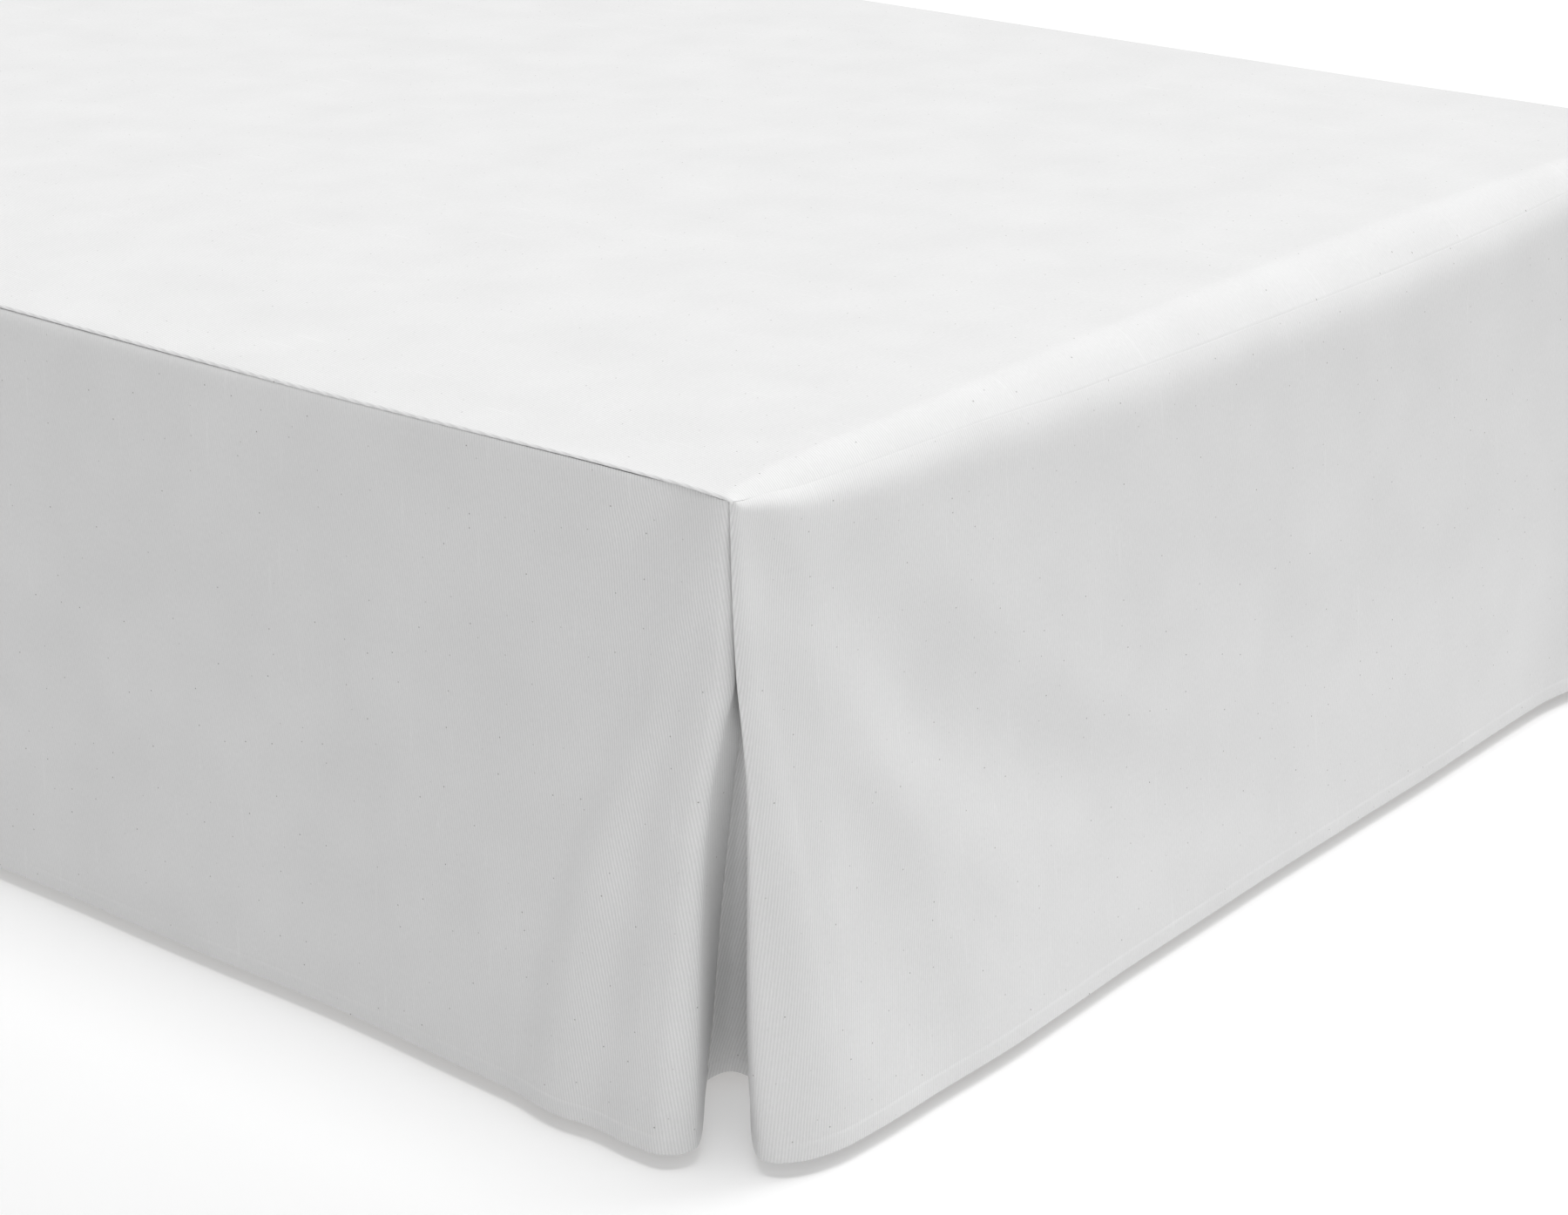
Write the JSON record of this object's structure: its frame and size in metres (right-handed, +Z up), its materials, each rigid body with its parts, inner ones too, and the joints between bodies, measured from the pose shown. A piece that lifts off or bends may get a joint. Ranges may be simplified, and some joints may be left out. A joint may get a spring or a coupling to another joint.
{
  "type": "bed skirt on a bed base",
  "caption": "Tailored white cotton bed skirt with a flat deck, straight drops on three sides and kick pleats at the foot corners, hung over a plain bed base on turned legs.",
  "frame": {"origin": "on the floor under the middle of the whole thing's footprint", "axes": "+Y along the bed from the foot to the open head end, +Z up, +X across the bed to the right as seen from the foot"},
  "size_m": [1.0297, 1.9404, 0.3604],
  "materials": {
    "skirt_cloth": "white cotton drill with fine upright ribs, matte",
    "base_cover": "plain grey ticking, matte",
    "leg_wood": "turned beech, satin lacquer"
  },
  "bodies": {
    "root": {"deck": "skirt_cloth", "side_drop_left": "skirt_cloth", "side_drop_right": "skirt_cloth", "foot_drop": "skirt_cloth", "pleat_insert_left": "skirt_cloth", "pleat_insert_right": "skirt_cloth", "bed_base": "base_cover", "leg_foot_left": "leg_wood", "leg_foot_right": "leg_wood", "leg_middle_left": "leg_wood", "leg_middle_right": "leg_wood", "leg_head_left": "leg_wood", "leg_head_right": "leg_wood"}
  },
  "joints": []
}
